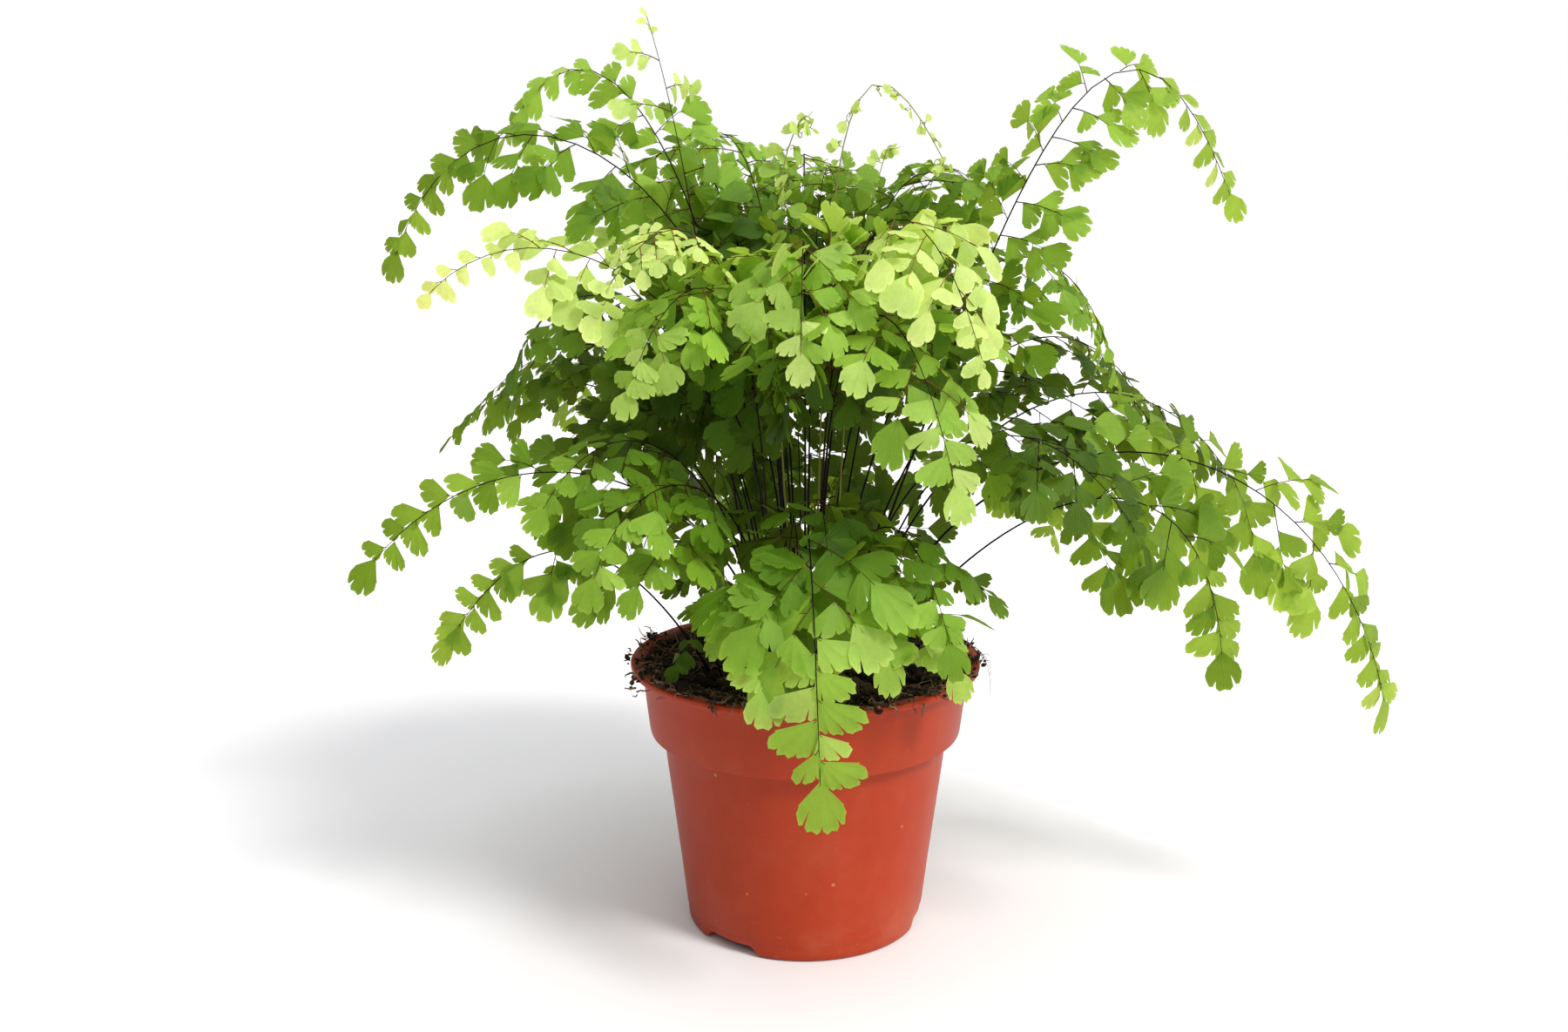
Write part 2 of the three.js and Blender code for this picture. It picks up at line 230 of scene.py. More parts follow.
def set_lamp():
    """One soft lamp, from the right front."""
    data = bpy.data.lights.new("key", "SUN")
    data.energy = KEY_STRENGTH
    data.angle = math.radians(KEY_WIDTH)
    data.color = KEY_COLOUR
    a, e = math.radians(KEY_HEADING), math.radians(KEY_ELEVATION)
    lamp = link("key", data)
    lamp.location = (math.cos(a) * math.cos(e), math.sin(a) * math.cos(e), math.sin(e))
    lamp.rotation_euler = lamp.location.to_track_quat("Z", "Y").to_euler()


def set_studio():
    """A pale studio: light from all above, and less of it from the left. The camera sees plain white."""
    world = bpy.data.worlds.new("studio")
    bpy.context.scene.world = world
    world.use_nodes = True
    n = Nodes(world.node_tree)
    way = n.split(n.add("ShaderNodeTexCoord").outputs["Generated"])
    sideways = n.times(n.band(way["X"], -0.7, 0.8), SIDE_GLOW)
    above = n.times(n.band(way["Z"], 0.2, 1.0), TOP_GLOW)
    upward = n.times(above, n.span(n.band(way["X"], -0.9, 0.2), 0.6, 1.0))
    glow = n.plus(n.math("MAXIMUM", sideways, upward), LEAST_GLOW)
    seen = n.add("ShaderNodeLightPath").outputs["Is Camera Ray"]
    background = world.node_tree.nodes["Background"]
    n.feed(background.inputs["Strength"], n.math("MAXIMUM", glow, seen))
    background.inputs["Color"].default_value = (1, 1, 1, 1)
    settings = bpy.context.scene.view_settings
    settings.view_transform = "Standard"
    settings.look = "None"


# ---------------------------------------------------------------- shared effects


def grime_group():
    """Dust and dirt in soft patches, with pale specks: a colour over another colour, and a mask of it."""
    tree, n, given, made = group(
        "grime",
        {"Color": "Color", "Dust": "Color", "Amount": "Float", "Scale": "Float", "Specks": "Float"},
        {"Color": "Color", "Mask": "Float"},
    )
    place = n.place()
    patches = n.times(n.band(n.noise(place, given["Scale"], 5, 0.6), 0.45, 0.75), given["Amount"])
    cell = n.cells(place, 210)
    size = n.times(n.band(cell["Color"], 0.72, 0.95), 0.22)
    outer = n.band(n.math("DIVIDE", cell["Distance"], n.plus(size, 0.001)), 0.7, 1.0)
    mask = n.math("MAXIMUM", patches, n.times(n.flip(outer), given["Specks"]))
    n.feed(made["Color"], n.blend(mask, given["Color"], given["Dust"]))
    n.feed(made["Mask"], mask)
    return tree


def mottle_group():
    """Uneven colour: a slow drift and a fine mottle that lighten and darken a colour."""
    tree, n, given, made = group(
        "mottle", {"Color": "Color", "Amount": "Float", "Scale": "Float"}, {"Color": "Color"}
    )
    place = n.place()
    slow = n.noise(place, given["Scale"], 2)
    fine = n.noise(place, n.times(given["Scale"], 9), 4, 0.6)
    both = n.band(n.plus(n.times(slow, 0.65), n.times(fine, 0.35)), 0.3, 0.7)
    factor = n.span(both, n.flip(given["Amount"]), n.plus(1, given["Amount"]))
    n.feed(made["Color"], n.blend(1.0, given["Color"], factor, "MULTIPLY"))
    return tree


def vein_group():
    """The fan of forking veins of a leaflet, and its margin.

    They are drawn on the leaflet's own map: X is the share of the fan's angle, Y the share of its length.
    """
    tree, n, given, made = group("veins", {"Map": "Vector"}, {"Veins": "Float", "Margin": "Float"})
    chart = n.split(given["Map"])
    wobble = n.times(n.math("SUBTRACT", n.noise(given["Map"], 5, 2), 0.5), 0.03)
    across = n.plus(chart["X"], wobble)
    inner, outer = (
        n.band(n.math("SINE", n.times(across, count * math.tau)), 0.2, 0.95) for count in (12, 24)
    )
    forked = n.band(chart["Y"], 0.42, 0.6)
    n.feed(made["Veins"], n.plus(n.times(inner, n.flip(forked)), n.times(outer, forked)))
    n.feed(made["Margin"], n.band(chart["Y"], 0.86, 1.0))
    return tree


GRIME = grime_group()
MOTTLE = mottle_group()
VEINS = vein_group()


# ---------------------------------------------------------------- materials

# a leaflet's colour by its tint, from the dark green of an old one, which painted shade in the middle of the
# foliage also gives, to the yellow green of a young one
LEAF_GREENS = (
    (0.0, (0.028, 0.080, 0.001, 1)),
    (0.35, (0.098, 0.226, 0.008, 1)),
    (0.65, (0.285, 0.490, 0.050, 1)),
    (1.0, (0.800, 0.920, 0.300, 1)),
)
# the pot's inner wall over the step, in metres: its foot, its radius there, and how that grows with height
BAND_FOOT = 0.0705
BAND_RADIUS = 0.05315
BAND_SLOPE = 0.115
# the share of light that goes through a leaflet
THROUGH = 0.5


def leaf_material():
    """Leaflet tissue: deep to yellow green by its tint, which carries painted shade, painted warmer away from
    the middle and cooler near it, veined, paler at the margin, and lit from behind.
    """
    made, n, shader = material("leaflet")
    veins = n.use(VEINS, {"Map": n.add("ShaderNodeUVMap", uv_map="fan").outputs[0]})
    tint = n.attribute("tint")
    # painted light and shade: outer leaflets are painted a little warmer, as if in the sun, and inner ones
    # cooler, as if in shade
    painted_sun_and_shade = n.blend(n.band(n.from_axis(), 0.09, 0.13), (0.98, 1.02, 1.06, 1), (1.10, 1.0, 1.02, 1))
    green = n.blend(1.0, n.ramp(tint, LEAF_GREENS), painted_sun_and_shade, "MULTIPLY")
    mottled = n.use(MOTTLE, {"Color": green, "Amount": 0.14, "Scale": 90.0})["Color"]
    veined = n.blend(n.times(veins["Veins"], 0.11), mottled, (0.42, 0.55, 0.12, 1))
    paler = n.blend(1.0, veined, (1.9, 1.5, 2.4, 1), "MULTIPLY")
    edged = n.blend(n.times(veins["Margin"], 0.3), veined, paler)
    relief = n.plus(n.times(veins["Veins"], 0.6), n.noise(n.place(), 900, 3))
    n.dress(shader, edged, n.span(veins["Veins"], 0.45, 0.58), n.bump(relief, 0.18, 0.0002), 0.2)
    lit = n.blend(n.span(tint, 0.14, 0.44), edged, (0.80, 0.90, 0.06, 1))
    through = n.add("ShaderNodeBsdfTranslucent", {"Color": lit})
    mix = {0: THROUGH, 1: shader.outputs["BSDF"], 2: through.outputs["BSDF"]}
    output = made.node_tree.nodes["Material Output"]
    n.feed(output.inputs["Surface"], n.add("ShaderNodeMixShader", mix).outputs[0])
    return made


def stalk_material():
    """Wiry stalks: polished near-black, turning brown and then green where they are young."""
    made, n, shader = material("stalk")
    youth = n.attribute("tint")
    place = n.place()
    streaks = n.noise(n.stretch(place, (1, 1, 0.15)), 900, 3)
    dark = n.blend(streaks, (0.0015, 0.001, 0.001, 1), (0.010, 0.004, 0.003, 1))
    brown = n.blend(n.band(youth, 0.15, 0.55), dark, (0.17, 0.075, 0.02, 1))
    green = n.blend(n.band(youth, 0.5, 0.95), brown, (0.30, 0.38, 0.07, 1))
    relief = n.noise(n.stretch(place, (1, 1, 0.1)), 2500, 2)
    rough = n.span(n.noise(place, 1500, 2), 0.38, 0.55)
    n.dress(shader, green, rough, n.bump(relief, 0.2, 0.0001), 0.1)
    return made


def pot_material():
    """Thin moulded plastic the colour of fired clay: faintly streaked, dusty, scuffed and specked, and dark
    brown in patches inside the mouth, which is partly soil stain and partly painted shade.
    """
    made, n, shader = material("pot_plastic")
    place = n.place()
    high = n.split(place)["Z"]
    clay = n.use(MOTTLE, {"Color": (0.37, 0.036, 0.008, 1), "Amount": 0.07, "Scale": 16.0})["Color"]
    streaks = n.band(n.noise(n.stretch(place, (1, 1, 0.06)), 120, 4), 0.45, 0.8)
    clay = n.blend(n.times(streaks, 0.12), clay, (0.50, 0.085, 0.04, 1))
    foot = n.flip(n.band(high, 0.0, 0.02))
    dust = {
        "Color": clay,
        "Dust": (0.60, 0.27, 0.17, 1),
        "Amount": n.plus(0.06, n.times(foot, 0.16)),
        "Scale": 38.0,
        "Specks": 0.55,
    }
    dusty = n.use(GRIME, dust)
    scuff = n.band(n.noise(n.stretch(place, (1, 1, 3)), 260, 5, 0.7), 0.62, 0.72)
    scuff = n.times(scuff, n.plus(0.08, n.times(foot, 0.3)))
    worn = n.blend(scuff, dusty["Color"], (0.62, 0.30, 0.21, 1))
    # inside the mouth above the compost the wall is painted dark brown in patches: partly soil stain, partly
    # painted shade
    wall = n.plus(BAND_RADIUS, n.times(n.math("SUBTRACT", high, BAND_FOOT), BAND_SLOPE))
    inside = n.times(n.math("LESS_THAN", n.from_axis(), wall), n.band(high, 0.072, 0.076))
    stain_and_shade_patches = n.span(n.band(n.noise(place, 190, 5, 0.7), 0.35, 0.6), 0.45, 0.95)
    stained_and_shaded = n.blend(n.times(inside, stain_and_shade_patches), worn, (0.045, 0.024, 0.014, 1))
    rough = n.plus(n.span(n.noise(place, 60, 4), 0.36, 0.5), n.times(dusty["Mask"], 0.3))
    waves = n.noise(n.stretch(place, (0.4, 0.4, 1)), 30, 2)
    relief = n.plus(n.times(n.noise(place, 1400, 3), 0.12), waves)
    n.dress(shader, stained_and_shaded, rough, n.bump(relief, 0.2, 0.0012), 0.18)
    shader.inputs["Subsurface Weight"].default_value = 0.04
    shader.inputs["Subsurface Radius"].default_value = (0.004, 0.0015, 0.0008)
    shader.inputs["Subsurface Scale"].default_value = 1.0
    return made


def peat_material():
    """Moist dark peat: nearly black, with brown crumbs in it."""
    made, n, shader = material("peat")
    place = n.place()
    crumb = n.cells(place, 420)
    dark = n.blend(n.noise(place, 160, 6, 0.7), (0.004, 0.003, 0.002, 1), (0.034, 0.018, 0.010, 1))
    brown = n.blend(n.band(crumb["Color"], 0.72, 0.9), dark, (0.085, 0.046, 0.024, 1))
    relief = n.plus(crumb["Distance"], n.noise(place, 700, 5, 0.7))
    rough = n.span(n.noise(place, 300, 3), 0.75, 0.98)
    n.dress(shader, brown, rough, n.bump(relief, 0.9, 0.0016), 0.25)
    return made


def fibre_material():
    """Dry roots and threads of peat: tan to dark brown, rough."""
    made, n, shader = material("fibre")
    place = n.place()
    colour = n.blend(n.attribute("tint"), (0.035, 0.018, 0.010, 1), (0.34, 0.20, 0.10, 1))
    mottled = n.use(MOTTLE, {"Color": colour, "Amount": 0.35, "Scale": 260.0})["Color"]
    rough = n.span(n.noise(place, 500, 2), 0.7, 0.95)
    n.dress(shader, mottled, rough, n.bump(n.noise(place, 2500, 3), 0.4, 0.0003))
    return made


def rootstock_material():
    """The rhizome: dark brown, furred with chaffy scales."""
    made, n, shader = material("rootstock")
    fur = n.noise(n.stretch(n.place(), (1, 1, 3)), 600, 5, 0.7)
    colour = n.blend(fur, (0.014, 0.008, 0.005, 1), (0.16, 0.085, 0.04, 1))
    n.dress(shader, colour, n.span(fur, 0.7, 0.95), n.bump(fur, 0.9, 0.0012))
    return made


def floor_material():
    """A pale sheet, a little cool and nearly even."""
    made, n, shader = material("floor")
    place = n.place()
    pale = n.blend(n.noise(place, 3, 4), (0.79, 0.79, 0.815, 1), (0.84, 0.84, 0.86, 1))
    n.dress(shader, pale, n.span(n.noise(place, 14, 3), 0.5, 0.7))
    return made


# ---------------------------------------------------------------- meshes

# the number of points above which a strand is long
LONG_STRAND = 20


def piece(name, bm, materials, node):
    """Turns a bmesh into an object that rides with the pot, and stands for a node if one is given."""
    mesh = bpy.data.meshes.new(name)
    bm.to_mesh(mesh)
    bm.free()
    for each in materials:
        mesh.materials.append(each)
    made = link(name, mesh)
    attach(made, BODY)
    if node:
        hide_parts(node)
    return made


def add_mesh(bm, mesh):
    """Adds a mesh to a bmesh, and gives the new points and faces."""
    verts, faces = len(bm.verts), len(bm.faces)
    bm.from_mesh(mesh)
    bm.verts.ensure_lookup_table()
    bm.faces.ensure_lookup_table()
    return bm.verts[verts:], bm.faces[faces:]


def turned(bm, profile, steps):
    """Spins a profile of [radius, height] pairs in millimetres about the pot's axis, and closes it."""
    verts = [bm.verts.new((r * MM, 0, z * MM)) for r, z in profile]
    edges = [bm.edges.new(pair) for pair in zip(verts, verts[1:])]
    bmesh.ops.spin(
        bm, geom=verts + edges, cent=(0, 0, 0), axis=(0, 0, 1), angle=math.tau, steps=steps, use_merge=True
    )
    bmesh.ops.remove_doubles(bm, verts=bm.verts, dist=1e-6)
    bmesh.ops.recalc_face_normals(bm, faces=bm.faces)


def smooth(bm, sharp_angle):
    """Smooth shading, except over edges sharper than an angle in degrees."""
    for face in bm.faces:
        face.smooth = True
    for edge in bm.edges:
        edge.smooth = edge.calc_face_angle(0) < math.radians(sharp_angle)


def tubes(strands, sides):
    """One mesh of closed tapering tubes: each strand is a list of points and one of radii in millimetres."""
    data = bpy.data.curves.new("strands", "CURVE")
    data.dimensions = "3D"
    data.bevel_depth = MM
    data.bevel_resolution = sides
    data.use_fill_caps = True
    for points, radii in strands:
        line = data.splines.new("POLY")
        line.points.add(len(points) - 1)
        for at, point, radius in zip(line.points, points, radii):
            at.co = (*point, 1)
            at.radius = radius
    holder = bpy.data.objects.new("strands", data)
    mesh = bpy.data.meshes.new_from_object(holder)
    bpy.data.objects.remove(holder)
    bpy.data.curves.remove(data)
    return mesh


def add_strands(bm, tint, strands, material_index):
    """Adds strands to a bmesh as tubes with a tint. Long ones are rounder."""
    for points, radii, shade in strands:
        mesh = tubes([(points, radii)], 1 if len(points) > LONG_STRAND else 0)
        _, faces = add_mesh(bm, mesh)
        bpy.data.meshes.remove(mesh)
        for face in faces:
            face[tint] = shade
            face.material_index = material_index
            face.smooth = True


# ---------------------------------------------------------------- pot

# radius and height in millimetres, from the middle of the underside up to the lip, and back down inside
POT_UNDERSIDE = [(0, 0), (20, 0), (33, 0), (39.0, 0), (40.3, 0.4), (40.95, 1.3)]
POT_FOOT = [(41.15, 3.2), (41.3, 5.6), (41.52, 6.0), (41.62, 6.6)]
POT_WALL = [(43.5, 23), (45.9, 42), (48.05, 59), (48.9, 66.6)]
POT_STEP = [(49.2, 67.7), (50.0, 68.3), (52.6, 68.9), (53.4, 69.4), (53.7, 70.4)]
POT_BAND = [(54.4, 76), (55.3, 84), (55.9, 89.8), (56.3, 91.0)]
POT_LIP = [(57.2, 91.5), (59.2, 91.6), (59.8, 91.9), (60, 92.5), (60, 93.3), (59.7, 93.8), (59.1, 94)]
POT_MOUTH = [(55.8, 94), (55.1, 93.7), (54.8, 93.0), (54.1, 84), (52.6, 71.2), (52.2, 70.4)]
POT_INSIDE = [(48.6, 69.4), (48.0, 68.6), (47.6, 67), (44.5, 42), (42.2, 23), (39.8, 4.4)]
POT_FLOOR = [(38.8, 2.6), (37.2, 1.8), (20, 1.6), (0, 1.6)]
POT_STEPS = 180
LIP_TOP = 94
# drainage pockets: headings in degrees, lengths in millimetres
POCKET_COUNT = 3
POCKET_FIRST = -130
POCKET_HALF = 17
POCKET_RAMP = 4
POCKET_HEIGHT = 3.0
POCKET_INNER = 30
POCKET_TOP = 7
POCKET_FADE = 4


def lift_pockets(bm):
    """Raises the underside and the wall's foot over each drainage pocket."""
    turn = 360 / POCKET_COUNT
    for vert in bm.verts:
        radius = math.hypot(vert.co.x, vert.co.y) / MM
        if radius < POCKET_INNER or vert.co.z >= POCKET_TOP * MM:
            continue
        heading = math.degrees(math.atan2(vert.co.y, vert.co.x))
        off = abs((heading - POCKET_FIRST + turn / 2) % turn - turn / 2)
        share = clamped((POCKET_HALF - off) / POCKET_RAMP)
        fade = clamped((POCKET_TOP - vert.co.z / MM) / POCKET_FADE)
        vert.co.z += POCKET_HEIGHT * share * MM * fade


def build_pot(plastic):
    """The pot as one thin shell, turned about its axis."""
    outside = POT_UNDERSIDE + POT_FOOT + POT_WALL + POT_STEP + POT_BAND + POT_LIP
    bm = bmesh.new()
    turned(bm, outside + POT_MOUTH + POT_INSIDE + POT_FLOOR, POT_STEPS)
    lift_pockets(bm)
    smooth(bm, 35)
    return piece("pot_shell", bm, [plastic], "pot")


# ---------------------------------------------------------------- compost

# radii and heights are in millimetres
SOIL_MIDDLE = 86.8
SOIL_RISE = 5.0
SOIL_RADIUS = 54
SOIL_EDGE = 54.3
SOIL_FLAT = 88
SOIL_RINGS = 26
SOIL_STEPS = 110
SOIL_WALL = [(0, 2), (36, 2), (38.6, 5), (47.2, 67), (47.8, 69.6), (51.8, 71), (54.0, 86)]
CRUMB_COUNT = 620
CRUMB_REACH = 54.2
THREAD_COUNT = 320
THREAD_REACH = 53
LIP_START = 55.6
# heading, width in degrees, how many, and how far they hang down outside, in millimetres
RIM_LITTER = [
    (198, 7, 34, 6),
    (160, 9, 26, 0),
    (182, 10, 18, 1),
    (218, 16, 34, 0),
    (244, 12, 36, 1),
    (262, 10, 20, 0),
    (294, 12, 22, 1),
    (316, 12, 30, 1),
    (336, 10, 30, 1),
    (354, 8, 22, 1),
    (14, 8, 34, 4),
    (40, 14, 16, 0),
    (90, 30, 26, 0),
    (128, 14, 16, 0),
]
# heading in degrees, length and thickness in millimetres
HANGING_THREADS = [(10, 21, 0.14), (4, 17, 0.12), (14, 9, 0.32), (199, 8, 0.14), (252, 8, 0.1), (297, 6, 0.3)]


def soil_height(x, y):
    """Height of the compost, in metres, at a place in metres: lumpy, and higher towards the wall."""
    radius = math.hypot(x, y) / MM
    at = Vector((x, y, 0))
    lumps = 1.6 * noise.noise(at * 70) + 1.1 * noise.noise(at * 170) + 0.5 * noise.noise(at * 420)
    return (SOIL_MIDDLE + SOIL_RISE * (radius / SOIL_RADIUS) ** 3 + lumps) * MM


def on_soil(heading, radius, lift):
    """A place above the compost by a height in metres."""
    place = around(heading, radius, 0)
    place.z = soil_height(place.x, place.y) + lift
    return place


def build_compost(peat):
    """The one mass of peat that fills the pot, with an uneven top."""
    bm = bmesh.new()
    top = [(SOIL_EDGE * k / SOIL_RINGS, SOIL_FLAT) for k in range(SOIL_RINGS, -1, -1)]
    turned(bm, SOIL_WALL + top, SOIL_STEPS)
    for vert in bm.verts:
        if vert.co.z > (SOIL_FLAT - 1) * MM:
            vert.co.z = soil_height(vert.co.x, vert.co.y)
    smooth(bm, 70)
    return piece("compost_body", bm, [peat], "compost")


def lump(bm, place, size, rng):
    """One rough crumb of peat."""
    made = bmesh.ops.create_icosphere(bm, subdivisions=1, radius=size)["verts"]
    shift = Vector([rng.uniform(0, 90) for _ in range(3)])
    for vert in made:
        vert.co *= 1 + 0.6 * noise.noise(vert.co * 600 + shift)
    squash = Matrix.Diagonal((rng.uniform(0.8, 1.7), rng.uniform(0.6, 1), rng.uniform(0.5, 0.9), 1))
    turn = Matrix.Rotation(rng.uniform(0, math.tau), 4, "Z") @ Matrix.Rotation(rng.uniform(-0.7, 0.7), 4, "Y")
    bmesh.ops.transform(bm, matrix=Matrix.Translation(place) @ turn @ squash, verts=made)


def litter_place(heading, width, hang, rng):
    """A place on the compost's edge or on the lip, or a little way down outside."""
    radius = rng.uniform(51, 60.5)
    height = rng.uniform(92.2, 94.2) if radius < LIP_START else rng.uniform(94.2, 95.4)
    if radius > 58.5 and rng.random() < 0.25 * hang:
        radius, height = rng.uniform(60.4, 61.6), LIP_TOP - rng.uniform(0, hang)
    return around(heading + rng.gauss(0, width * 0.5), radius, height)


def build_crumbs(peat, rng):
    """Loose lumps of peat that lie on the compost, and clods that lie on the lip."""
    bm = bmesh.new()
    for _ in range(CRUMB_COUNT):
        heading, radius = rng.uniform(0, 360), CRUMB_REACH * math.sqrt(rng.random())
        size = rng.choice((0.7, 0.9, 1.2, 1.7, 2.4)) * rng.uniform(0.7, 1.2) * MM
        lump(bm, on_soil(heading, radius, size * 0.25), size, rng)
    for heading, width, count, hang in RIM_LITTER:
        for _ in range(count):
            size = rng.choice((0.5, 0.7, 0.9, 1.3)) * rng.uniform(0.7, 1.2) * MM
            lump(bm, litter_place(heading, width, hang, rng), size, rng)
    for face in bm.faces:
        face.smooth = False
    return piece("compost_crumbs", bm, [peat], None)


def fibre(rng, start, direction, length, thick, steps=7, wander=0.38, sink=0.06):
    """A crooked thread: its points and radii."""
    points, at, way = [], start.copy(), direction.normalized()
    for _ in range(steps):
        points.append(at.copy())
        at += way * length / (steps - 1)
        way = (way + scatter(rng, wander) + Vector((0, 0, -sink))).normalized()
    return points, [thick * (1 - 0.6 * k / (steps - 1)) for k in range(steps)]


def build_fibres(dry, rng):
    """Threads of root and peat: over the compost, in tufts on the lip, and a few that hang from it."""
    strands = []
    for _ in range(THREAD_COUNT):
        heading, radius = rng.uniform(0, 360), THREAD_REACH * math.sqrt(rng.random())
        place = on_soil(heading, radius, rng.uniform(0.2, 1.2) * MM)
        way = Vector((rng.gauss(0, 1), rng.gauss(0, 1), rng.uniform(0.0, 0.5)))
        thick = rng.choice((0.09, 0.13, 0.2, 0.3))
        strands.append((*fibre(rng, place, way, rng.uniform(5, 16) * MM, thick), rng.random()))
    for heading, width, count, hang in RIM_LITTER:
        for _ in range(round(count * 1.6)):
            place = litter_place(heading, width, hang, rng)
            out = Vector((place.x, place.y, 0)).normalized() * rng.gauss(0.1, 0.7)
            way = out + Vector((rng.gauss(0, 0.8), rng.gauss(0, 0.8), rng.gauss(0.1, 0.35)))
            thick = rng.choice((0.08, 0.12, 0.2, 0.3, 0.42))
            thread = fibre(rng, place, way, rng.uniform(2.5, 7) * MM, thick, 6, 0.5)
            strands.append((*thread, rng.uniform(0, 0.9) ** 1.5))
    for heading, length, thick in HANGING_THREADS:
        place = around(heading, 59, 94.8)
        way = Vector((place.x, place.y, -0.03)).normalized()
        thread = fibre(rng, place, way, length * MM, thick, 9, 0.12, 0.35)
        strands.append((*thread, rng.uniform(0.3, 0.8)))
    bm = bmesh.new()
    tint = bm.faces.layers.float.new("tint")
    add_strands(bm, tint, strands, 0)
    return piece("compost_fibres", bm, [dry], None)


# ---------------------------------------------------------------- rhizome

RHIZOME_BRANCHES = 9
RHIZOME_STEPS = 12


def build_rhizome(bark, rng):
    """A creeping rootstock: short knobbly branches that spread from the middle, half sunk in the compost."""
    strands = []
    for k in range(RHIZOME_BRANCHES):
        heading = k * 360 / RHIZOME_BRANCHES + rng.uniform(-12, 12)
        reach = rng.uniform(26, 38)
        points, radii = [], []
        for step in range(RHIZOME_STEPS + 1):
            share = step / RHIZOME_STEPS
            bend = heading + 14 * math.sin(share * 5 + k)
            points.append(on_soil(bend, 1 + reach * share, (2.6 - 1.5 * share) * MM))
            knob = 1 + 0.18 * math.sin(step * 2.4 + k)
            radii.append((3.6 - 1.6 * share) * knob * (0.5 if step == RHIZOME_STEPS else 1))
        strands.append((points, radii))
    mesh = tubes(strands, 3)
    bm = bmesh.new()
    bm.from_mesh(mesh)
    bpy.data.meshes.remove(mesh)
    for vert in bm.verts:
        vert.co += vert.normal * 0.7 * MM * noise.noise(vert.co * 400)
    smooth(bm, 60)
    return piece("rhizome_crown", bm, [bark], "rhizome")


# ---------------------------------------------------------------- leaflets


